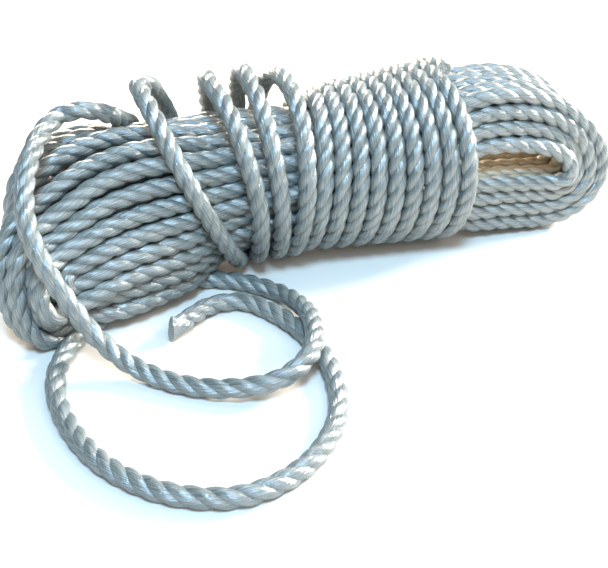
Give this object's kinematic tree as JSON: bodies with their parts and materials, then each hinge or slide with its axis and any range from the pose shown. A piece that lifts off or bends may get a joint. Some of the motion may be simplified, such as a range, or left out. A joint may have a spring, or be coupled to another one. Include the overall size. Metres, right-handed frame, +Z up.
{
  "type": "hank of three-strand laid rope",
  "caption": "Long white laid rope made up into a waisted hank with tight and open wraps round its neck, its tail laid in loose loops to a melted free end.",
  "frame": {"origin": "middle of the whole object's footprint, on the surface it lies on", "axes": "+X along the hank towards its neat right end, -Y towards the loose loops of the tail, +Z up"},
  "size_m": [0.3646, 0.2784, 0.1193],
  "materials": {
    "rope": "silky multifilament yarn, white, slightly blue in the shade",
    "melted_end": "melted and pinched, milky white"
  },
  "bodies": {
    "root": {"hank_layer_1": "rope", "hank_layer_2": "rope", "hank_layer_3": "rope", "hank_layer_4": "rope", "hank_layer_5": "rope", "hank_layer_6": "rope", "tight_wraps": "rope", "open_wraps": "rope", "rear_bight": "rope", "tail": "rope", "free_end_tip": "melted_end"}
  },
  "joints": []
}
